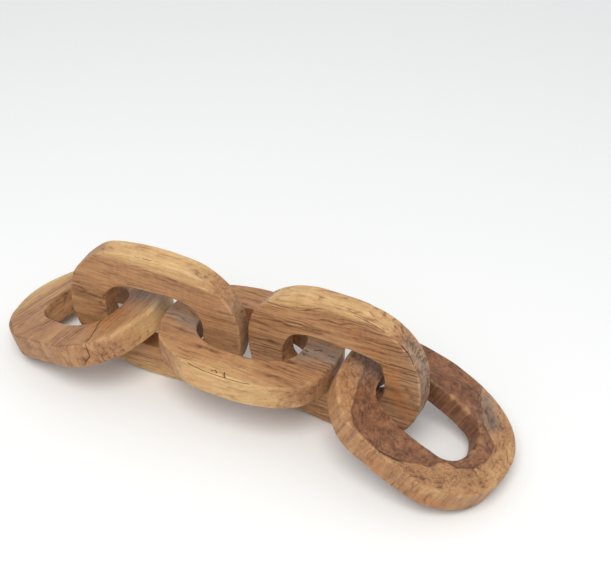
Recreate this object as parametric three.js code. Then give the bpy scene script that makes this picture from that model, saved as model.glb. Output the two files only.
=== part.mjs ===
// A carved wooden chain of five links, lying along X on a flat surface at Z = 0.
// Millimetres, +Z up. The origin is under the middle of the chain, at the height of the surface.
// The two end links and the middle link lie nearly flat, and the two links between them stand on
// their long edges. Every link passes through its neighbours and none is fastened to another.

import * as THREE from 'three';

// Driving dimensions that the five links share
const LINK_LENGTH = 200;
const LINK_WIDTH = 160;
const END_BAR = 42.5;
const SIDE_BAR = 43;
const THICKNESS = 28;
const EDGE_RADIUS = 2.6;
const OUTER_POWER = 2.45;
const INNER_POWER = 2.85;

// How finely a link is drawn: stations around the ring, and points on each rounded arris
const STATIONS = 72;
const ARRIS_POINTS = 3;

// One link as it was cut: how far it strays from the shared sizes, where it lies, and its wood.
// yaw turns it about Z, pitch raises its right end, lean rolls it about its own length (90 stands it
// on edge). cuts and holeCuts are what the knife left at a place around the outline, seen from the
// face: [degrees from the right end, degrees of spread, millimetres left proud or, if negative, cut].
const LINKS = [
  {
    name: 'left_end_link', colour: 0x9a6f47,
    length: LINK_LENGTH + 3, width: LINK_WIDTH - 3, endBar: END_BAR + 4, sideBar: SIDE_BAR - 2.4,
    thickness: THICKNESS + 1.4,
    centre: [-198.3, -2.6, 46.7], yaw: -13, pitch: 18.4, lean: 4.6,
    cuts: [[178, 10, 4], [-122, 8, 1.8], [-90, 14, -2.2], [-50, 8, 1.2], [-8, 12, -2]],
    holeCuts: [[-75, 20, 1.4], [175, 10, -2]],
  },
  {
    name: 'left_upright_link', colour: 0xa4774a,
    length: LINK_LENGTH + 2.5, width: LINK_WIDTH + 2, endBar: END_BAR + 0.8, sideBar: SIDE_BAR,
    thickness: THICKNESS - 2.5,
    centre: [-103.2, -5, 81.4], yaw: 4.6, pitch: -3, lean: 90,
    cuts: [[-117, 10, -2.6], [130, 8, 1.6], [145, 7, -1.2], [58, 7, 0.8], [-10, 12, 1.4]],
    holeCuts: [[42, 8, 1.2], [100, 20, -1.2], [-95, 16, 2.4]],
  },
  {
    name: 'middle_link', colour: 0xa1734a,
    length: LINK_LENGTH + 1, width: LINK_WIDTH - 4.5, endBar: END_BAR - 1.2, sideBar: SIDE_BAR - 1.7,
    thickness: THICKNESS + 1,
    centre: [3.7, 8.2, 67.9], yaw: 1.3, pitch: -1.6, lean: -1.7,
    cuts: [[-133, 9, -2.4], [-34, 6, 1.2], [125, 12, -1.4]],
    holeCuts: [[-135, 8, 1.4], [-28, 14, -3.4], [115, 10, 1.8]],
  },
  {
    name: 'right_upright_link', colour: 0x9c6e44,
    length: LINK_LENGTH - 0.5, width: LINK_WIDTH + 1, endBar: END_BAR - 2.2, sideBar: SIDE_BAR + 4.2,
    thickness: THICKNESS - 1.7,
    centre: [104.1, 8.3, 80.6], yaw: -3.7, pitch: 2.2, lean: 90,
    cuts: [[-113, 8, -0.9], [140, 8, -0.8], [108, 8, 0.8], [34, 8, -0.6], [180, 14, 1.2]],
    holeCuts: [[28, 7, 3.6], [165, 9, -3.2], [69, 12, -1.4]],
  },
  {
    name: 'right_end_link', colour: 0x94683f,
    length: LINK_LENGTH - 4, width: LINK_WIDTH + 3, endBar: END_BAR - 0.8, sideBar: SIDE_BAR + 0.8,
    thickness: THICKNESS + 0.6,
    centre: [204.4, -2.6, 47.7], yaw: -10.3, pitch: -20.8, lean: -2.9,
    cuts: [[176, 8, 3], [-121, 10, 3.2], [-38, 9, -0.9], [-56, 6, 0.8], [116, 8, -1.3]],
    holeCuts: [[-126, 9, -1.4], [-40, 8, 1.8], [36, 7, 2.4]],
  },
];

const radians = THREE.MathUtils.degToRad;

// Distance from a link's centre to an oblong outline with rounded corners, at an angle in degrees
function oblongRadius(halfLength, halfWidth, power, degrees) {
  const along = Math.abs(Math.cos(radians(degrees))) / halfLength;
  const across = Math.abs(Math.sin(radians(degrees))) / halfWidth;
  return (along ** power + across ** power) ** (-1 / power);
}

// What the knife left proud of the outline, or cut below it, at an angle
function carvedBy(cuts, degrees) {
  let total = 0;
  for (const [at, spread, proud] of cuts) {
    const away = THREE.MathUtils.euclideanModulo(degrees - at + 180, 360) - 180;
    total += proud * Math.exp(-0.5 * (away / spread) ** 2);
  }
  return total;
}

// The section of the bar at one station: a rectangle from the hole to the rim with rounded arrises.
// Each point is [distance from the link's centre, height], anticlockwise from the foot of the rim.
function barSection(hole, rim, thickness) {
  const corners = [[rim, -1, -90], [rim, 1, 0], [hole, 1, 90], [hole, -1, 180]];
  const points = [];
  for (const [edge, side, start] of corners) {
    const inward = edge === rim ? -EDGE_RADIUS : EDGE_RADIUS;
    for (let k = 0; k < ARRIS_POINTS; k++) {
      const turn = radians(start + (90 * k) / (ARRIS_POINTS - 1));
      points.push([
        edge + inward + EDGE_RADIUS * Math.cos(turn),
        side * (thickness / 2 - EDGE_RADIUS) + EDGE_RADIUS * Math.sin(turn),
      ]);
    }
  }
  return points;
}

// A closed ring: the bar's section carried around the link, one station after another
function linkGeometry(link) {
  const positions = [];
  const faces = [];
  const sectionPoints = 4 * ARRIS_POINTS;
  for (let s = 0; s < STATIONS; s++) {
    const degrees = (360 * s) / STATIONS;
    const rim = oblongRadius(link.length / 2, link.width / 2, OUTER_POWER, degrees)
      + carvedBy(link.cuts, degrees);
    const hole = oblongRadius(
      link.length / 2 - link.endBar, link.width / 2 - link.sideBar, INNER_POWER, degrees,
    ) + carvedBy(link.holeCuts, degrees);
    const along = Math.cos(radians(degrees));
    const across = Math.sin(radians(degrees));
    for (const [distance, height] of barSection(hole, rim, link.thickness)) {
      positions.push(distance * along, distance * across, height);
    }
  }
  for (let s = 0; s < STATIONS; s++) {
    const here = s * sectionPoints;
    const next = ((s + 1) % STATIONS) * sectionPoints;
    for (let k = 0; k < sectionPoints; k++) {
      const after = (k + 1) % sectionPoints;
      faces.push(here + k, next + k, next + after);
      faces.push(here + k, next + after, here + after);
    }
  }
  const geometry = new THREE.BufferGeometry();
  geometry.setAttribute('position', new THREE.Float32BufferAttribute(positions, 3));
  geometry.setIndex(faces);
  geometry.computeVertexNormals();
  return geometry;
}

function makeLink(link) {
  const wood = new THREE.MeshStandardMaterial({ color: link.colour, roughness: 0.6, metalness: 0 });
  const mesh = new THREE.Mesh(linkGeometry(link), wood);
  mesh.name = link.name;
  mesh.rotation.order = 'ZYX';
  mesh.rotation.set(radians(link.lean), radians(-link.pitch), radians(link.yaw));
  mesh.position.set(...link.centre);
  return mesh;
}

const group = new THREE.Group();
for (const link of LINKS) {
  group.add(makeLink(link));
}

export default group;
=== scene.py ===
import itertools
import math

import bpy
import numpy as np
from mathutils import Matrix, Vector


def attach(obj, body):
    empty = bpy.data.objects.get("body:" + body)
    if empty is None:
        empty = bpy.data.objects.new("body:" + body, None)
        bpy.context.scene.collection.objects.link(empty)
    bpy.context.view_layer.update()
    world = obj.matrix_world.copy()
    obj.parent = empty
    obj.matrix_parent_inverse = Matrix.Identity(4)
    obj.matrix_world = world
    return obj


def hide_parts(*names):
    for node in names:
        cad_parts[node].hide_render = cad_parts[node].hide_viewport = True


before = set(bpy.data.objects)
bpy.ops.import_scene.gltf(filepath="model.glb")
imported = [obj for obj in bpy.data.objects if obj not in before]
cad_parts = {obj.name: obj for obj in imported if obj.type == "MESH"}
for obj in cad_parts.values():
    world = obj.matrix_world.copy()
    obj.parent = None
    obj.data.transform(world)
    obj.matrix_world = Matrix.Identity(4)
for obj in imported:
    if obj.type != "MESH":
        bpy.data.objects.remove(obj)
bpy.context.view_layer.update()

# A carved wooden chain of five loose links. Lengths are millimetres in each link's own axes, as the
# links were carved: x along the link, y across it, z up out of its face.
MM = 0.001
LINK_LENGTH = 200
LINK_WIDTH = 160
END_BAR = 42.5
SIDE_BAR = 43
THICKNESS = 28
OUTER_POWER = 2.45
INNER_POWER = 2.85

# How finely a link is cut: stations round the ring, and steps over the bar's face, edge and arris.
STATIONS = 560
FACE_STEPS = 38
EDGE_STEPS = 26
ARRIS_STEPS = 5
ARRIS_RADIUS = 2.3

# Camera, in millimetres and degrees round the chain's middle, as the photograph was taken.
CAMERA_PLACE = (442.9, -773.0, 841.5)
CAMERA_TURN = 25.56
CAMERA_DROP = 38.13
CAMERA_ROLL = 0.10
CAMERA_LENS = 64.87
SENSOR_WIDTH = 36.0

# Wood tones as screen colours.
HONEY = (176, 130, 88)
TAN = (152, 108, 72)
UMBER = (104, 70, 44)
GOLD = (206, 168, 116)
STRAW = (186, 146, 98)
RUSSET = (142, 96, 66)
CHESTNUT = (112, 72, 48)
ORANGE = (178, 112, 60)
# The next tone is the middle of the greyish painted shade, not a colour of the wood.
SHADE_GREY = (136, 118, 104)
SOOT = (52, 36, 26)

# Marks on a link: kind, half width, strength, surface, then the points it runs through. Points on the
# face and back are (x, y), and points on the rim and in the hole are (degrees round, height). The greyish
# marks are painted shade where a neighbouring link's bar shelters the wood. The stains laid beside them darken that
# painted shade.
LINKS = [
    {
        "name": "left_end_link",
        "slot": "left_end_wood",
        "length": LINK_LENGTH + 3,
        "width": LINK_WIDTH - 3,
        "end_bar": END_BAR + 4,
        "side_bar": SIDE_BAR - 2.4,
        "thickness": THICKNESS + 1.4,
        "centre": (-198.3, -2.6, 46.7),
        "yaw": -13,
        "pitch": 18.4,
        "lean": 4.6,
        "cuts": [(178, 10, 4), (-122, 8, 1.8), (-90, 14, -2.2), (-50, 8, 1.2), (-8, 12, -2)],
        "hole_cuts": [(-75, 20, 1.4), (175, 10, -2)],
        "worn_arris": [("top_outer", -12, 22, 4.5), ("top_outer", 150, 30, 1.0)],
        "heart": (5, 0, 4),
        "fibres": (0.02, 1, 0.04),
        "flare": 0.0022,
        "ring_gap": 6.5,
        "sap_from": 84,
        "seed": 11,
        "marks": [
            ("streak", 2.2, 0.75, "face", [(-80, -52), (-79, -38), (-76.5, -16), (-72, 4), (-66, 30), (-62, 48)]),
            ("streak", 1.6, 0.55, "face", [(-57.5, -56), (-56, -40), (-54.5, -18), (-54, 5), (-57, 24)]),
            ("pale", 5.0, 0.35, "face", [(-68, -48), (-65, -16), (-62, 12)]),
            ("orange", 6.0, 0.5, "face", [(-84, 16), (-76, 26)]),
            ("orange", 8.0, 0.6, "face", [(64, 10), (66, -12), (60, -28)]),
            ("crack", 0.5, 1.0, "face", [(51, -21), (55, -29), (63.6, -44.4), (68.7, -56), (71, -62.5)]),
            ("crack", 0.5, 1.0, "rim", [(-41.5, 14.7), (-41.5, 8.5), (-42.1, -1.9), (-46.5, -8.3)]),
            ("line", 0.7, 0.8, "rim", [(-150, 14.6), (-120.7, 14.6), (-84, 14.6), (-64, 14.6), (-40, 14.6), (-33, 14.6)]),
            ("line", 0.5, 0.45, "rim", [(-54.7, 11.6), (-57.4, 0.8), (-58.3, -10)]),
            ("line", 0.5, 0.4, "rim", [(-31.5, 10), (-31.7, 0), (-35.3, -7)]),
            ("line", 0.5, 0.35, "rim", [(-23.5, 10), (-23.9, 0), (-28.7, -6.4)]),
            # Painted shade: greyish shade on the right end, under the left upright's bar.
            ("painted_shade", 14.0, 0.7, "face", [(62, 38), (80, 34), (96, 30)]),
            ("knot", 2.2, 0.5, "rim", [(-119, -9.6)]),
        ],
    },
    {
        "name": "left_upright_link",
        "slot": "left_upright_wood",
        "length": LINK_LENGTH + 2.5,
        "width": LINK_WIDTH + 2,
        "end_bar": END_BAR + 0.8,
        "side_bar": SIDE_BAR,
        "thickness": THICKNESS - 2.5,
        "centre": (-103.2, -5, 81.4),
        "yaw": 4.6,
        "pitch": -3,
        "lean": 90,
        "cuts": [(-117, 10, -2.6), (130, 8, 1.6), (145, 7, -1.2), (58, 7, 0.8), (-10, 12, 1.4)],
        "hole_cuts": [(42, 8, 1.2), (100, 20, -1.2), (-95, 16, 2.4)],
        "worn_arris": [("top_outer", 95, 30, -0.9)],
        "heart": (0, 4, -6),
        "fibres": (1, 0.02, 0.03),
        "flare": 0.0004,
        "ring_gap": 5.0,
        "sap_from": 66,
        "seed": 23,
        "marks": [
            ("pale", 3.0, 0.8, "face", [(-41, 76), (-22.6, 73.5), (0.6, 71.5), (23.6, 69.5), (46.4, 67), (69, 62)]),
            ("crack", 0.6, 0.9, "rim", [(103, 11.5), (98.7, 12.3)]),
            ("crack", 0.6, 1.0, "rim", [(97, 11.2), (92.8, 11.0), (89.4, 11.8)]),
            ("line", 0.6, 0.6, "rim", [(70, 12.6), (60.6, 12.4), (53.8, 12.2), (46.7, 12.2)]),
            ("knot", 2.4, 0.8, "rim", [(57.1, 5.9)]),
            ("knot", 1.6, 0.7, "rim", [(53.1, 7.1)]),
            ("line", 0.8, 0.7, "face", [(-101, 11), (-87.5, 10.3), (-75, 10.3), (-63, 9), (-59, 8.4)]),
            ("streak", 3.0, 0.6, "face", [(-99, 6), (-82, 5.5), (-66, 4.5)]),
            ("line", 0.6, 0.5, "face", [(-99.4, 3.2), (-81.8, 2.4), (-66, 1.6)]),
            ("knot", 2.6, 1.0, "face", [(-64.5, 2.4)]),
            ("stain_and_shade", 3.0, 0.8, "hole", [(137, 8), (139, 12)]),
            ("line", 0.7, 0.5, "face", [(-38, -66), (-24, -68.5), (-5.4, -69), (13.2, -71)]),
            ("pale", 4.0, 0.6, "face", [(-40, -72), (-5, -74), (20, -74)]),
            # Painted shade: greyish shade on the rim's right end, between this link and the right upright.
            ("painted_shade", 12.0, 0.4, "rim", [(12, 0), (25, 4)]),
        ],
    },
    {
        "name": "middle_link",
        "slot": "middle_wood",
        "length": LINK_LENGTH + 1,
        "width": LINK_WIDTH - 4.5,
        "end_bar": END_BAR - 1.2,
        "side_bar": SIDE_BAR - 1.7,
        "thickness": THICKNESS + 1,
        "centre": (3.7, 8.2, 67.9),
        "yaw": 1.3,
        "pitch": -1.6,
        "lean": -1.7,
        "cuts": [(-133, 9, -2.4), (-34, 6, 1.2), (125, 12, -1.4)],
        "hole_cuts": [(-135, 8, 1.4), (-28, 14, -3.4), (115, 10, 1.8)],
        "worn_arris": [("top_outer", -18, 16, 4.0), ("top_outer", 178, 14, 1.5)],
        "heart": (0, 10, -8),
        "fibres": (1, -0.05, 0.03),
        "flare": 0.0006,
        "ring_gap": 6.0,
        "sap_from": 76,
        "seed": 37,
        "marks": [
            ("crack", 0.6, 0.9, "face", [(-40, -71.5), (-32.4, -73.6), (-19.7, -75.4), (-1.9, -76.3), (9.3, -75.9), (25.7, -74.6), (36, -72.8)]),
            ("crack", 0.5, 0.8, "face", [(-10.5, -72), (-6.8, -69), (-3, -73)]),
            ("crack", 0.5, 0.9, "face", [(3.2, -68), (4.6, -72), (8.5, -76)]),
            ("streak", 1.6, 0.5, "face", [(-46, -43), (-28, -44.5), (-10, -46.5)]),
            ("streak", 1.2, 0.5, "face", [(-20, -46), (-8, -51)]),
            ("pale", 5.0, 0.45, "face", [(-8, -58), (14, -60), (24, -52), (18, -42)]),
            # Painted shade: greyish shade on both ends, under the two uprights' bars.
            ("painted_shade", 9.0, 0.8, "face", [(-104, -2), (-82, -8), (-58, -14)]),
            ("painted_shade", 13.0, 0.85, "face", [(62, -4), (82, 4), (100, 0)]),
            ("crack", 0.6, 0.8, "face", [(62, 1), (67, -0.5)]),
            ("crack", 0.6, 0.8, "face", [(71, 4), (76, 8), (80, 6.5)]),
            ("crack", 0.5, 0.6, "face", [(62, -6), (66, -7)]),
            ("line", 0.8, 0.4, "face", [(60.4, -65.5), (74, -60), (81.6, -51.5), (86, -36)]),
            ("pale", 5.0, 0.8, "rim", [(-67, 1), (-62, 3), (-57, 6)]),
            ("pale", 4.0, 0.7, "rim", [(-130, 11), (-110, 9), (-85, 4), (-60, -3), (-44, -8), (-34, -11)]),
            ("orange", 8.0, 0.5, "rim", [(-118, 0), (-100, -4)]),
        ],
    },
    {
        "name": "right_upright_link",
        "slot": "right_upright_wood",
        "length": LINK_LENGTH - 0.5,
        "width": LINK_WIDTH + 1,
        "end_bar": END_BAR - 2.2,
        "side_bar": SIDE_BAR + 4.2,
        "thickness": THICKNESS - 1.7,
        "centre": (104.1, 8.3, 80.6),
        "yaw": -3.7,
        "pitch": 2.2,
        "lean": 90,
        "cuts": [(-113, 8, -0.9), (140, 8, -0.8), (108, 8, 0.8), (34, 8, -0.6), (180, 14, 1.2)],
        "hole_cuts": [(28, 7, 3.6), (165, 9, -3.2), (69, 12, -1.4)],
        "worn_arris": [("top_outer", 100, 40, -0.6)],
        "heart": (0, -14, 2),
        "fibres": (1, 0.05, -0.03),
        "flare": -0.0004,
        "ring_gap": 4.2,
        "sap_from": 82,
        "seed": 53,
        "marks": [
            ("crack", 0.5, 0.9, "rim", [(72, 12.9), (66, 12.7), (58.3, 12.4), (48.4, 11.6)]),
            ("crack", 0.7, 1.0, "rim", [(37.3, 9.8), (30.3, 9.1), (22.9, 11.3)]),
            ("pale", 1.8, 1.0, "rim", [(22, 4.1), (18, 2.5), (16.5, -4)]),
            ("knot", 1.8, 0.9, "rim", [(14, -3)]),
            ("streak", 1.5, 0.8, "rim", [(19, 11), (16, 6), (13, 2)]),
            # Painted shade: greyish shade on the rim's right end, down in the right end link's hole.
            ("painted_shade", 12.0, 0.8, "rim", [(30, 0), (12, 0), (-6, 0)]),
            ("streak", 1.4, 0.7, "face", [(-92, 33), (-84, 30.6), (-64, 27.5), (-46, 27)]),
            ("streak", 1.2, 0.6, "face", [(-82, 43), (-69, 41.5), (-50, 40)]),
            ("streak", 1.2, 0.5, "face", [(-30, 48), (-4, 47), (14, 45)]),
            ("streak", 1.4, 0.7, "face", [(-86, 21.5), (-72, 22)]),
            ("knot", 3.0, 0.7, "face", [(-70, 8.7)]),
            ("streak", 2.4, 0.8, "face", [(-78, 10), (-67, 8.7), (-61, 5.5)]),
            ("stain_and_shade", 5.0, 0.7, "face", [(64, -1), (75, -2.5)]),
            ("knot", 3.0, 0.9, "face", [(85, 5)]),
            ("knot", 2.0, 0.8, "face", [(90, -3)]),
            ("orange", 10.0, 0.9, "face", [(66, 14), (76, -14), (88, -22)]),
            ("orange", 12.0, 0.5, "face", [(20, 60), (50, 46)]),
            # A pale line along the right end's face arris: partly wear, partly painted highlight.
            ("pale", 1.2, 0.8, "rim", [(15.4, 12.2), (6, 12.4), (-5.4, 12.4)]),
            ("chip", 2.6, 1.0, "face", [(54, 28), (55.5, 22)]),
            ("chip", 2.0, 0.8, "face", [(57, 12), (58.5, 4)]),
            ("streak", 1.4, 0.5, "face", [(-40, -62), (-20, -63), (0, -64)]),
        ],
    },
    {
        "name": "right_end_link",
        "slot": "right_end_wood",
        "length": LINK_LENGTH - 4,
        "width": LINK_WIDTH + 3,
        "end_bar": END_BAR - 0.8,
        "side_bar": SIDE_BAR + 0.8,
        "thickness": THICKNESS + 0.6,
        "centre": (204.4, -2.6, 47.7),
        "yaw": -10.3,
        "pitch": -20.8,
        "lean": -2.9,
        "cuts": [(176, 8, 3), (-121, 10, 3.2), (-38, 9, -0.9), (-56, 6, 0.8), (116, 8, -1.3)],
        "hole_cuts": [(-126, 9, -1.4), (-40, 8, 1.8), (36, 7, 2.4)],
        "worn_arris": [("top_outer", 20, 50, 2.2), ("top_inner", 35, 45, 3.5), ("top_outer", 178, 30, 2.5)],
        "heart": (-10, 0, 0),
        "fibres": (0.08, 0.05, 1),
        "flare": 0.0005,
        "ring_gap": 6.0,
        "sap_from": 300,
        "seed": 71,
        "red_heart": [
            (-79, -3), (-70, -28), (-64, -42), (-57, -60), (-48, -72), (-36, -77), (-20, -79), (-8, -79),
            (5, -75), (17, -68), (25, -60), (34, -55), (39, -48), (39, -43), (46, -35), (57, -32), (68, -20),
            (74, -5), (75, 10), (70, 23), (61, 30), (50, 36), (39, 50), (30, 60), (22, 84), (-40, 92),
            (-92, 60), (-96, 20),
        ],
        "marks": [
            ("crack", 0.6, 1.0, "face", [(-11.3, -79.2), (-7.2, -77.9), (-1, -76), (5, -74), (11.2, -72)]),
            ("pits", 8.0, 1.0, "face", [(4, -76), (18, -73), (34, -66), (52, -56), (66, -42), (78, -24)]),
            ("pits", 7.0, 0.6, "face", [(40, -60), (60, -38), (76, -14)]),
            ("streak", 1.6, 0.7, "face", [(46, -35), (57, -32), (68, -20), (74, -5), (75, 10)]),
            ("streak", 2.2, 0.6, "face", [(34, -55), (39, -48), (40, -40)]),
            # Painted shade: a greyish shaded patch on the far bar, darkened by the stain beside it.
            ("painted_shade", 9.0, 0.9, "face", [(36, 66), (44, 58), (58, 44)]),
            ("stain_and_shade", 5.0, 0.7, "face", [(39, 61), (46, 52), (58, 40)]),
            ("stain_and_shade", 5.0, 0.8, "face", [(-18, 42), (-10, 40)]),
            ("line", 0.7, 0.6, "face", [(30, 60), (36, 48), (46, 37), (60, 30)]),
            ("line", 0.7, 0.5, "face", [(72, 16), (78, 4), (86, -2)]),
            ("line", 0.7, 0.5, "face", [(68, -20), (80, -24), (90, -30)]),
            ("pale", 8.0, 0.5, "face", [(86, 34), (90, 14), (88, -8)]),
            ("pale", 7.0, 0.6, "rim", [(-58, 6), (-54, 8), (-49, 8)]),
            ("orange", 7.0, 0.7, "rim", [(-97, 0), (-92, -4)]),
            ("orange", 9.0, 0.7, "rim", [(-56, -4), (-44, -6)]),
            ("line", 0.6, 0.6, "rim", [(-96, 11), (-96.2, 2), (-96.6, -8)]),
            ("line", 0.5, 0.6, "rim", [(-55, 10), (-55, -6)]),
            # Painted shade: greyish and dark brown shade on the left end, under the right upright's bar.
            ("painted_shade", 14.0, 0.5, "face", [(-88, 8), (-74, -4)]),
            ("stain_and_shade", 10.0, 0.6, "face", [(-96, -4), (-72, 2)]),
        ],
    },
]

CORNERS = ("top_outer", "bottom_outer", "bottom_inner", "top_inner")
MARK_KINDS = ("streak", "pale", "painted_shade", "orange", "pits", "stain_and_shade", "knot", "line", "crack", "chip")


def lattice_noise(places, cell, seed):
    """Smooth random values from -1 to 1 that change over about one cell."""
    table = np.random.default_rng(seed).uniform(-1, 1, (32, 32, 32))
    scaled = places / np.asarray(cell, float)
    corner = np.floor(scaled).astype(int)
    part = scaled - corner
    part = part * part * (3 - 2 * part)
    total = 0
    for step in itertools.product((0, 1), repeat=3):
        at = (corner + step) % 32
        share = np.where(step, part, 1 - part).prod(axis=-1)
        total = total + share * table[at[..., 0], at[..., 1], at[..., 2]]
    return total


def fractal_noise(places, cell, seed, octaves=3):
    """Layers of lattice noise, each half as coarse and half as strong as the one before."""
    cell = np.asarray(cell, float)
    total = 0
    for layer in range(octaves):
        total = total + lattice_noise(places, cell / 2**layer, seed + layer) / 2**layer
    return total


def step_up(value, low, high):
    """0 below low, 1 above high, and an S-curve between them."""
    share = np.clip((value - low) / (high - low), 0, 1)
    return share * share * (3 - 2 * share)


def unit(vector):
    return np.asarray(vector, float) / np.linalg.norm(vector)


def oblong_radius(half_length, half_width, power, degrees):
    """The distance from the middle to a smooth oblong, squarer for a higher power."""
    across = np.abs(np.cos(np.radians(degrees))) / half_length
    up = np.abs(np.sin(np.radians(degrees))) / half_width
    return (across**power + up**power) ** (-1 / power)


def carved_by(cuts, degrees):
    """How far the knife left wood proud (+) or cut deeper (-) at this bearing."""
    total = np.zeros_like(degrees)
    for at, spread, proud in cuts:
        away = (degrees - at + 180) % 360 - 180
        total += proud * np.exp(-0.5 * (away / spread) ** 2)
    return total


def rim_radius(link, degrees):
    oblong = oblong_radius(link["length"] / 2, link["width"] / 2, OUTER_POWER, degrees)
    return oblong + carved_by(link["cuts"], degrees)


def hole_radius(link, degrees):
    half_length = link["length"] / 2 - link["end_bar"]
    half_width = link["width"] / 2 - link["side_bar"]
    return oblong_radius(half_length, half_width, INNER_POWER, degrees) + carved_by(link["hole_cuts"], degrees)


def arris_radius(link, corner, degrees):
    """The rounding of one arris at each station: uneven, and larger where it is worn."""
    round_the_ring = np.stack([np.cos(np.radians(degrees)), np.sin(np.radians(degrees)), 0 * degrees], axis=-1)
    seed = link["seed"] + 100 * CORNERS.index(corner)
    radius = ARRIS_RADIUS + 0.7 * lattice_noise(round_the_ring * 100, 30, seed)
    for name, at, spread, extra in link["worn_arris"]:
        if name == corner:
            away = (degrees - at + 180) % 360 - 180
            radius += extra * np.exp(-0.5 * (away / spread) ** 2)
    return np.clip(radius, 1.2, 9.0)


def bar_sections(link, degrees):
    """Distances from the middle, heights and nearness to an arris, station by station round the bar."""
    rim = rim_radius(link, degrees)
    hole = hole_radius(link, degrees)
    top = link["thickness"] / 2
    radii = [arris_radius(link, corner, degrees) for corner in CORNERS]
    middles = [
        (rim - radii[0], top - radii[0]),
        (rim - radii[1], -top + radii[1]),
        (hole + radii[2], -top + radii[2]),
        (hole + radii[3], top - radii[3]),
    ]
    arcs = []
    for turn, (radius, (distance, height)) in enumerate(zip(radii, middles)):
        arc = []
        for step in range(ARRIS_STEPS + 1):
            angle = math.radians(90 - 90 * (turn + step / ARRIS_STEPS))
            arc.append((distance + radius * math.cos(angle), height + radius * math.sin(angle)))
        arcs.append(arc)
    columns = []
    for turn in range(4):
        start = arcs[turn - 1][-1]
        end = arcs[turn][0]
        steps = (FACE_STEPS, EDGE_STEPS)[turn % 2]
        for step in range(1, steps):
            share = step / steps
            columns.append([(1 - share) * a + share * b for a, b in zip(start, end)] + [0.0])
        for step, (distance, height) in enumerate(arcs[turn]):
            nearness = 1 - abs(2 * step / ARRIS_STEPS - 1) * 0.5
            columns.append([distance, height, nearness])
    distances = np.stack([column[0] for column in columns], axis=1)
    heights = np.stack([column[1] for column in columns], axis=1)
    arris = np.broadcast_to([column[2] for column in columns], distances.shape)
    return distances, heights, arris


def surface_normals(places):
    """Outward normals of the closed grid of places."""
    round_ring = np.roll(places, -1, axis=0) - np.roll(places, 1, axis=0)
    round_bar = np.roll(places, -1, axis=1) - np.roll(places, 1, axis=1)
    normals = np.cross(round_bar, round_ring)
    return normals / np.linalg.norm(normals, axis=-1, keepdims=True)


def mark_points(link, surface, points):
    """A mark's points as places on the link, in its own axes."""
    top = link["thickness"] / 2
    if surface in ("face", "back"):
        height = top if surface == "face" else -top
        return np.array([(x, y, height) for x, y in points], float)
    radius = rim_radius if surface == "rim" else hole_radius
    placed = []
    for degrees, height in points:
        distance = radius(link, np.array([float(degrees)]))[0]
        turn = math.radians(degrees)
        placed.append((distance * math.cos(turn), distance * math.sin(turn), height))
    return np.array(placed, float)


def along_line(places, normals, points):
    """Distance to a line of points, the same with a sign for its side, and the share of its length passed."""
    if len(points) == 1:
        distance = np.linalg.norm(places - points[0], axis=-1)
        return distance, distance, np.full(distance.shape, 0.5)
    lengths = np.linalg.norm(np.diff(points, axis=0), axis=1)
    passed = np.concatenate([[0], np.cumsum(lengths)]) / lengths.sum()
    best = np.full(places.shape[:-1], np.inf)
    side = np.zeros_like(best)
    share = np.zeros_like(best)
    for index, (start, end) in enumerate(zip(points[:-1], points[1:])):
        run = end - start
        part = np.clip((places - start) @ run / (run @ run), 0, 1)
        offset = places - (start + part[..., None] * run)
        distance = np.linalg.norm(offset, axis=-1)
        lateral = (np.cross(normals, unit(run)) * offset).sum(axis=-1)
        nearer = distance < best
        best = np.where(nearer, distance, best)
        side = np.where(nearer, lateral, side)
        share = np.where(nearer, passed[index] + part * (passed[index + 1] - passed[index]), share)
    return best, side, share


def inside_outline(places, outline):
    """Signed distance in x and y to a closed outline, positive inside."""
    outline = np.array(outline, float)
    flat = places[..., :2]
    nearest = np.full(flat.shape[:-1], np.inf)
    crossings = np.zeros(flat.shape[:-1], int)
    for start, end in zip(outline, np.roll(outline, -1, axis=0)):
        run = end - start
        part = np.clip((flat - start) @ run / (run @ run), 0, 1)
        nearest = np.minimum(nearest, np.linalg.norm(flat - start - part[..., None] * run, axis=-1))
        spans = (start[1] > flat[..., 1]) != (end[1] > flat[..., 1])
        rise = end[1] - start[1] if end[1] != start[1] else 1e-9
        reach = start[0] + (flat[..., 1] - start[1]) * run[0] / rise
        crossings += spans & (flat[..., 0] < reach)
    return np.where(crossings % 2 == 1, nearest, -nearest)


def grain_of(link, places):
    """Millimetres along the fibres and in two directions across them, and the distance out from the heart."""
    along = unit(link["fibres"])
    side = unit(np.cross(along, (0.3, 0.2, 0.9) if abs(along[2]) < 0.9 else (0, 1, 0)))
    up = np.cross(along, side)
    seed = link["seed"]
    waver = np.stack([lattice_noise(places, (75, 75, 60), seed + n) for n in (1, 2, 3)], axis=-1)
    ripple = np.stack([lattice_noise(places, (24, 24, 24), seed + n) for n in (4, 5, 6)], axis=-1)
    away = places + 4.5 * waver + 0.9 * ripple - np.array(link["heart"], float)
    flare = 1 + link["flare"] * (away @ along)
    grain = np.stack([away @ along, (away @ side) * flare, (away @ up) * flare], axis=-1)
    return grain, np.hypot(grain[..., 1], grain[..., 2])


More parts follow.
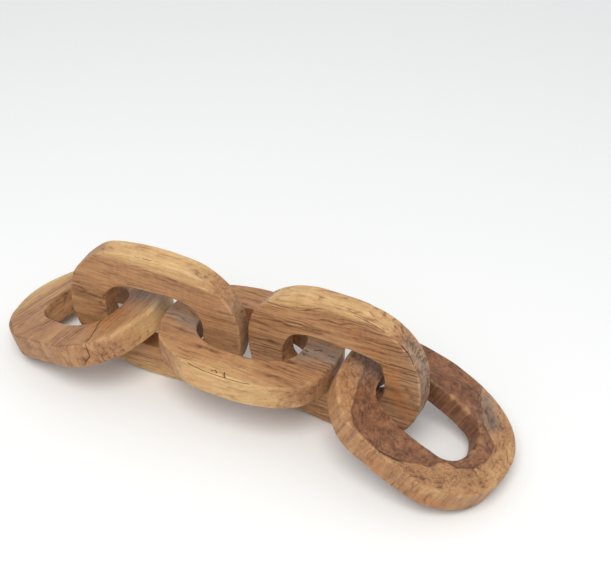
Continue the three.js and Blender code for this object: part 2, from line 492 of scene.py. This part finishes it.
def marked(link, places, normals, grain):
    """How strongly each kind of mark shows at each place, and the cracks' own distances."""
    shown = {kind: np.zeros(places.shape[:-1]) for kind in MARK_KINDS}
    crack_side = np.full(places.shape[:-1], 3.0)
    crack_show = np.zeros(places.shape[:-1])
    fray = fractal_noise(grain, (16, 2.4, 2.4), link["seed"] + 31)
    blotch = fractal_noise(places, (9, 9, 9), link["seed"] + 41)
    for kind, half_width, strength, surface, points in link["marks"]:
        distance, side, share = along_line(places, normals, mark_points(link, surface, points))
        if kind in ("crack", "line"):
            ends = step_up(share, -0.02, 0.12) * step_up(1 - share, -0.02, 0.12) if len(points) > 1 else 1
            wander = 0.35 * fray
            band = np.exp(-(((distance + 0 * wander) / (half_width + 0.55)) ** 2)) * strength * ends
            shown[kind] = np.maximum(shown[kind], band)
            if kind == "crack":
                near = step_up(-distance, -2.6, -1.2) * strength * ends
                nearer = near > crack_show
                crack_side = np.where(nearer, side / half_width, crack_side)
                crack_show = np.maximum(crack_show, near)
            continue
        ragged = 0.35 * fray if kind in ("streak", "knot", "stain_and_shade") else 0.45 * blotch
        band = np.exp(-((distance / half_width * (1 - ragged)) ** 2)) * strength
        if kind == "streak":
            band = band * step_up(share, -0.02, 0.15) * step_up(1 - share, -0.02, 0.25)
        shown[kind] = np.maximum(shown[kind], band)
    return shown, crack_side, crack_show


def carve(link):
    """One link's places, faces and everything that its finish reads, in its own axes."""
    degrees = np.arange(STATIONS) * 360 / STATIONS
    distances, heights, arris = bar_sections(link, degrees)
    turn = np.radians(degrees)[:, None]
    places = np.stack([distances * np.cos(turn), distances * np.sin(turn), heights], axis=-1)
    normals = surface_normals(places)
    seed = link["seed"]
    grain, out = grain_of(link, places)
    shown, crack_side, crack_show = marked(link, places, normals, grain)

    # Every cut goes inwards, so that the finished link never outgrows its solid.
    hollows = 0.3 + 0.3 * lattice_noise(places, 36, seed + 51) + 0.12 * lattice_noise(places, 12, seed + 52)
    furrows = 0.07 * lattice_noise(grain, (18, 2.6, 2.6), seed + 53)
    nicks = 0.5 * arris * step_up(fractal_noise(places, 9, seed + 54, 2), 0.45, 1.0)
    pitted = shown["pits"] * (0.25 + 0.55 * step_up(lattice_noise(places, 2.6, seed + 55), 0.1, 0.7))
    depth = np.clip(hollows + furrows, 0.02, None) + nicks + pitted
    depth += 1.3 * shown["crack"] + 0.35 * shown["line"] + 0.5 * shown["knot"] + 1.6 * shown["chip"]
    places = places - normals * depth[..., None]

    sap = step_up(out + 4 * lattice_noise(places, 22, seed + 61), link["sap_from"] - 3, link["sap_from"] + 9)
    if "red_heart" in link:
        edge = inside_outline(places, link["red_heart"]) + 1.2 * fractal_noise(places, 9, seed + 62)
        red = step_up(edge, -1.2, 1.2)
    else:
        edge = np.full(out.shape, 9.0)
        red = np.zeros_like(out)
    # The dark marks include stains that are painted shade, and the last tone channel is greyish painted shade.
    dark = np.clip(0.9 * shown["streak"] + 0.8 * shown["stain_and_shade"] + shown["knot"] + 0.9 * shown["line"], 0, 1)
    finish = {
        "grain": grain,
        "rings": np.stack([out, np.clip(sap, 0, 1), red], axis=-1),
        "tone": np.stack([dark, shown["pale"], shown["painted_shade"]], axis=-1),
        # Pits, nearness to an arris (which the material lightens for wear and as a painted highlight) and orange
        # patches.
        "wear_and_highlight": np.stack([shown["pits"], arris, shown["orange"]], axis=-1),
        "crack": np.stack([crack_side, crack_show, edge], axis=-1),
    }
    return places, finish


def placed(link, places):
    """The link's places in the chain, in metres."""
    lean, pitch, yaw = (math.radians(link[key]) for key in ("lean", "pitch", "yaw"))
    about_x = np.array([[1, 0, 0], [0, math.cos(lean), -math.sin(lean)], [0, math.sin(lean), math.cos(lean)]])
    about_y = np.array([[math.cos(pitch), 0, -math.sin(pitch)], [0, 1, 0], [math.sin(pitch), 0, math.cos(pitch)]])
    about_z = np.array([[math.cos(yaw), -math.sin(yaw), 0], [math.sin(yaw), math.cos(yaw), 0], [0, 0, 1]])
    turned = places @ (about_z @ about_y @ about_x).T
    return (turned + np.array(link["centre"], float)) * MM


def link_piece(link):
    """The finished link as a mesh of its own, with what its material reads kept on its points."""
    places, finish = carve(link)
    stations, steps = places.shape[:2]
    index = np.arange(stations * steps).reshape(stations, steps)
    ahead = np.roll(index, -1, axis=0)
    faces = np.stack([index, np.roll(index, -1, axis=1), np.roll(ahead, -1, axis=1), ahead], axis=-1)
    mesh = bpy.data.meshes.new(link["name"] + "_carving")
    mesh.from_pydata(placed(link, places).reshape(-1, 3).tolist(), [], faces.reshape(-1, 4).tolist())
    for name, values in finish.items():
        attribute = mesh.attributes.new(name, "FLOAT_VECTOR", "POINT")
        attribute.data.foreach_set("vector", values.reshape(-1).astype(np.float32))
    mesh.polygons.foreach_set("use_smooth", [True] * len(mesh.polygons))
    mesh.update()
    piece = bpy.data.objects.new(link["name"] + "_carved", mesh)
    bpy.context.scene.collection.objects.link(piece)
    return piece


def linear(colour):
    """A screen colour as Blender's linear one."""
    parts = [part / 255 for part in colour]
    return tuple(p / 12.92 if p <= 0.04045 else ((p + 0.055) / 1.055) ** 2.4 for p in parts) + (1.0,)


class Nodes:
    """Short ways to add and join a material's nodes."""

    def __init__(self, material):
        material.use_nodes = True
        self.tree = material.node_tree
        self.tree.nodes.clear()

    def add(self, kind, **settings):
        node = self.tree.nodes.new(kind)
        for key, value in settings.items():
            setattr(node, key, value)
        return node

    def feed(self, socket, value):
        if isinstance(value, bpy.types.NodeSocket):
            self.tree.links.new(value, socket)
        else:
            socket.default_value = value

    def math(self, operation, first, second=0.0, third=0.0, clamp=False):
        node = self.add("ShaderNodeMath", operation=operation, use_clamp=clamp)
        for socket, value in zip(node.inputs, (first, second, third)):
            self.feed(socket, value)
        return node.outputs[0]

    def attribute(self, name):
        return self.add("ShaderNodeAttribute", attribute_name=name).outputs["Vector"]

    def parts(self, vector):
        node = self.add("ShaderNodeSeparateXYZ")
        self.feed(node.inputs[0], vector)
        return node.outputs[0], node.outputs[1], node.outputs[2]

    def stretched(self, vector, scale, shift=(0.0, 0.0, 0.0)):
        node = self.add("ShaderNodeVectorMath", operation="MULTIPLY_ADD")
        self.feed(node.inputs[0], vector)
        node.inputs[1].default_value = scale
        node.inputs[2].default_value = shift
        return node.outputs[0]

    def noise(self, vector, detail=3.0, roughness=0.55):
        node = self.add("ShaderNodeTexNoise")
        self.feed(node.inputs["Vector"], vector)
        node.inputs["Scale"].default_value = 1.0
        node.inputs["Detail"].default_value = detail
        node.inputs["Roughness"].default_value = roughness
        return node.outputs["Fac"]

    def between(self, value, low, high, to_low=0.0, to_high=1.0, smooth=True):
        node = self.add("ShaderNodeMapRange", interpolation_type="SMOOTHSTEP" if smooth else "LINEAR")
        self.feed(node.inputs["Value"], value)
        for name, number in zip(("From Min", "From Max", "To Min", "To Max"), (low, high, to_low, to_high)):
            node.inputs[name].default_value = number
        return node.outputs["Result"]

    def ramp(self, value, stops):
        node = self.add("ShaderNodeValToRGB")
        self.feed(node.inputs[0], value)
        elements = node.color_ramp.elements
        while len(elements) < len(stops):
            elements.new(0.5)
        for element, (at, colour) in zip(elements, stops):
            element.position = at
            element.color = linear(colour)
        return node.outputs[0]

    def mix(self, share, first, second, blend="MIX"):
        node = self.add("ShaderNodeMix", data_type="RGBA", blend_type=blend)
        self.feed(node.inputs["Factor"], share)
        self.feed(node.inputs["A"] if False else node.inputs[6], first)
        self.feed(node.inputs[7], second)
        return node.outputs[2]


def wood(name, ring_gap, ring_strength, tones, sap_tones, red_tones, streakiness, shift):
    """Oiled old teak: rings, streaks, fibres, pores and the marks that the mesh carries, painted shade and painted
    arris highlights among them.
    """
    material = bpy.data.materials.new(name)
    nodes = Nodes(material)
    grain = nodes.attribute("grain")
    out, sap, red = nodes.parts(nodes.attribute("rings"))
    dark, pale, painted_shade = nodes.parts(nodes.attribute("tone"))
    pits, arris, orange = nodes.parts(nodes.attribute("wear_and_highlight"))
    crack_side, crack_show, heart_edge = nodes.parts(nodes.attribute("crack"))
    along, across_one, across_two = nodes.parts(grain)

    # Growth rings: a thin dark line of late wood at the end of each year's growth.
    drift = nodes.noise(nodes.stretched(grain, (1 / 60, 1 / 22, 1 / 22), shift), 2.0)
    year = nodes.math("ADD", nodes.math("DIVIDE", out, ring_gap), nodes.math("MULTIPLY", drift, 5.0))
    season = nodes.math("FRACT", year)
    late = nodes.math("MULTIPLY", nodes.between(season, 0.45, 0.93), nodes.between(season, 0.93, 1.0, 1.0, 0.0))
    which_year = nodes.noise(nodes.stretched(grain, (1 / 45, 1 / 9, 1 / 9), shift), 2.0)
    late = nodes.math("MULTIPLY", late, nodes.between(which_year, 0.35, 0.7))

    # Streaks and fibres follow the grain at four widths.
    broad = nodes.noise(nodes.stretched(grain, (1 / 110, 1 / 11, 1 / 11), shift), 2.0)
    middling = nodes.noise(nodes.stretched(grain, (1 / 55, 1 / 3.2, 1 / 3.2), shift), 3.0)
    fine = nodes.noise(nodes.stretched(grain, (1 / 26, 1 / 1.0, 1 / 1.0), shift), 3.0, 0.6)
    fibre = nodes.noise(nodes.stretched(grain, (1 / 7, 1 / 0.32, 1 / 0.32), shift), 2.0, 0.6)
    figure = nodes.noise(nodes.stretched(grain, (1 / 5, 1 / 9, 1 / 9), shift), 2.0)

    tone = nodes.math("MULTIPLY_ADD", nodes.math("SUBTRACT", broad, 0.5), 0.9, 0.5)
    tone = nodes.math("MULTIPLY_ADD", nodes.math("SUBTRACT", middling, 0.5), streakiness, tone)
    tone = nodes.math("MULTIPLY_ADD", nodes.math("SUBTRACT", fine, 0.5), 0.75, tone)
    tone = nodes.math("MULTIPLY_ADD", nodes.math("SUBTRACT", fibre, 0.5), 0.35, tone)
    tone = nodes.math("MULTIPLY_ADD", nodes.math("SUBTRACT", figure, 0.5), 0.35, tone)
    tone = nodes.math("MULTIPLY_ADD", late, -ring_strength, tone, clamp=True)

    colour = nodes.ramp(tone, tones)
    colour = nodes.mix(sap, colour, nodes.ramp(tone, sap_tones))
    colour = nodes.mix(red, colour, nodes.ramp(tone, red_tones))

    # Golden and orange patches, then greyish painted shade where a neighbouring bar shelters the wood, then
    # streaks, knots, lines and stains darkened toward brown (stains under a bar are painted shade too), each broken up
    # by the grain.
    ragged = nodes.between(middling, 0.3, 0.7, 0.55, 1.25)
    colour = nodes.mix(nodes.math("MULTIPLY", pale, ragged, clamp=True), colour, nodes.ramp(tone, sap_tones))
    colour = nodes.mix(
        nodes.math("MULTIPLY", orange, nodes.between(figure, 0.35, 0.65, 0.2, 0.8), clamp=True), colour, linear(ORANGE)
    )
    # Painted shade: greyish tones are mixed in where a neighbouring link's bar shelters the wood.
    painted_shade_tones = nodes.ramp(tone, [(0.15, (92, 76, 66)), (0.5, SHADE_GREY), (0.85, (164, 146, 130))])
    colour = nodes.mix(nodes.math("MULTIPLY", painted_shade, ragged, clamp=True), colour, painted_shade_tones)
    # Streaks, knots, lines and stains darken toward brown; the stains laid under a neighbouring link's bar are painted
    # shade.
    dark_marks_and_shade = nodes.math("MULTIPLY", dark, nodes.between(fine, 0.3, 0.7, 0.6, 1.0), clamp=True)
    colour = nodes.mix(nodes.math("MULTIPLY", dark_marks_and_shade, 0.8), colour, linear((58, 38, 25)))

    # The line where heart meets sap, the pitted patch, pores and cracks.
    border = nodes.between(nodes.math("ABSOLUTE", heart_edge), 0.5, 1.6, 0.55, 0.0)
    colour = nodes.mix(nodes.math("MULTIPLY", border, ragged, clamp=True), colour, linear((76, 50, 34)))
    speck = nodes.noise(nodes.stretched(grain, (1 / 1.5, 1 / 1.3, 1 / 1.3), shift), 2.0, 0.7)
    specks = nodes.math("MULTIPLY", pits, nodes.between(speck, 0.5, 0.62))
    colour = nodes.mix(nodes.math("MULTIPLY", specks, 0.6), colour, linear((70, 46, 28)))
    pore = nodes.between(nodes.noise(nodes.stretched(grain, (1 / 3.4, 1 / 0.4, 1 / 0.4), shift), 1.0), 0.62, 0.72)
    colour = nodes.mix(nodes.math("MULTIPLY", pore, 0.35), colour, linear(UMBER))
    split = nodes.between(nodes.math("ABSOLUTE", crack_side), 0.5, 1.3, 1.0, 0.0)
    split = nodes.math("MULTIPLY", split, nodes.between(crack_show, 0.1, 0.5))
    colour = nodes.mix(nodes.math("MULTIPLY", split, 0.9), colour, linear(SOOT))
    # Arrises lighten toward gold: partly rubbed wear, partly a painted highlight along the rounded edges.
    rubbed_and_highlit = nodes.math("MULTIPLY", arris, nodes.between(broad, 0.45, 0.65, 0.0, 0.3))
    colour = nodes.mix(rubbed_and_highlit, colour, linear(GOLD))

    height = nodes.math("MULTIPLY_ADD", fine, 0.5, nodes.math("MULTIPLY", fibre, 0.35))
    height = nodes.math("MULTIPLY_ADD", pore, -0.5, height)
    height = nodes.math("MULTIPLY_ADD", late, 0.25, height)
    height = nodes.math("MULTIPLY_ADD", specks, -1.2, height)
    height = nodes.math("MULTIPLY_ADD", split, -2.5, height)
    bump = nodes.add("ShaderNodeBump")
    bump.inputs["Strength"].default_value = 0.55
    bump.inputs["Distance"].default_value = 0.4 * MM
    nodes.feed(bump.inputs["Height"], height)

    rough = nodes.math("MULTIPLY_ADD", fine, 0.22, 0.40)
    rough = nodes.math("MULTIPLY_ADD", painted_shade, 0.12, rough)
    rough = nodes.math("MULTIPLY_ADD", pits, 0.15, rough, clamp=True)
    surface = nodes.add("ShaderNodeBsdfPrincipled")
    nodes.feed(surface.inputs["Base Color"], colour)
    nodes.feed(surface.inputs["Roughness"], rough)
    nodes.feed(surface.inputs["Normal"], bump.outputs[0])
    surface.inputs["Specular IOR Level"].default_value = 0.35
    output = nodes.add("ShaderNodeOutputMaterial")
    nodes.feed(output.inputs["Surface"], surface.outputs[0])
    return material


BROWN_TONES = [(0.08, UMBER), (0.34, TAN), (0.62, HONEY), (0.95, STRAW)]
SAP_TONES = [(0.08, TAN), (0.36, STRAW), (0.7, GOLD), (0.95, (220, 186, 136))]
RED_TONES = [(0.08, (84, 54, 38)), (0.36, CHESTNUT), (0.66, RUSSET), (0.95, (160, 116, 82))]

WOODS = {
    "left_end_link": {"ring_strength": 0.3, "streakiness": 0.7},
    "left_upright_link": {"ring_strength": 0.3, "streakiness": 0.8},
    "middle_link": {"ring_strength": 0.3, "streakiness": 0.7},
    "right_upright_link": {"ring_strength": 0.5, "streakiness": 1.3},
    "right_end_link": {"ring_strength": 0.35, "streakiness": 0.7},
}

for number, link in enumerate(LINKS):
    piece = link_piece(link)
    looks = WOODS[link["name"]]
    material = wood(
        link["name"] + "_teak",
        link["ring_gap"],
        looks["ring_strength"],
        BROWN_TONES,
        SAP_TONES,
        RED_TONES,
        looks["streakiness"],
        (7.3 * number, 3.1 * number, 5.7 * number),
    )
    piece.data.materials.append(material)
    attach(piece, "root")
    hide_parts(link["name"])


def pale_floor():
    """A plain pale studio floor, level with the links' undersides."""
    reach = 12.0
    mesh = bpy.data.meshes.new("floor")
    corners = [(-reach, -reach, 0), (reach, -reach, 0), (reach, reach, 0), (-reach, reach, 0)]
    mesh.from_pydata(corners, [], [(0, 1, 2, 3)])
    floor = bpy.data.objects.new("floor", mesh)
    bpy.context.scene.collection.objects.link(floor)
    material = bpy.data.materials.new("pale_floor")
    nodes = Nodes(material)
    surface = nodes.add("ShaderNodeBsdfPrincipled")
    surface.inputs["Base Color"].default_value = linear((236, 236, 234))
    surface.inputs["Roughness"].default_value = 0.9
    surface.inputs["Specular IOR Level"].default_value = 0.1
    output = nodes.add("ShaderNodeOutputMaterial")
    nodes.feed(output.inputs["Surface"], surface.outputs[0])
    mesh.materials.append(material)


def soft_lights():
    """A pale sky all round and one large soft light from above and a little in front."""
    world = bpy.data.worlds.new("studio")
    bpy.context.scene.world = world
    world.use_nodes = True
    background = world.node_tree.nodes["Background"]
    background.inputs["Color"].default_value = (0.93, 0.96, 1.0, 1.0)
    background.inputs["Strength"].default_value = 0.75
    lamp = bpy.data.lights.new("soft_light", "AREA")
    lamp.shape = "DISK"
    lamp.size = 1.6
    lamp.energy = 38
    lamp.color = (1.0, 0.98, 0.95)
    holder = bpy.data.objects.new("soft_light", lamp)
    bpy.context.scene.collection.objects.link(holder)
    holder.location = (0.35, -1.1, 2.1)
    holder.rotation_euler = (Vector((0, 0, 0.05)) - holder.location).to_track_quat("-Z", "Y").to_euler()


def photograph_camera():
    """The camera, placed and turned as the photograph shows the chain."""
    camera = bpy.data.cameras.new("camera")
    camera.lens = CAMERA_LENS
    camera.sensor_width = SENSOR_WIDTH
    camera.sensor_fit = "HORIZONTAL"
    camera.clip_end = 100
    holder = bpy.data.objects.new("camera", camera)
    bpy.context.scene.collection.objects.link(holder)
    holder.location = Vector(CAMERA_PLACE) * MM
    holder.rotation_mode = "XYZ"
    holder.rotation_euler = (math.radians(90 - CAMERA_DROP), math.radians(CAMERA_ROLL), math.radians(CAMERA_TURN))
    bpy.context.scene.camera = holder


pale_floor()
soft_lights()
photograph_camera()
bpy.context.scene.view_settings.view_transform = "Standard"
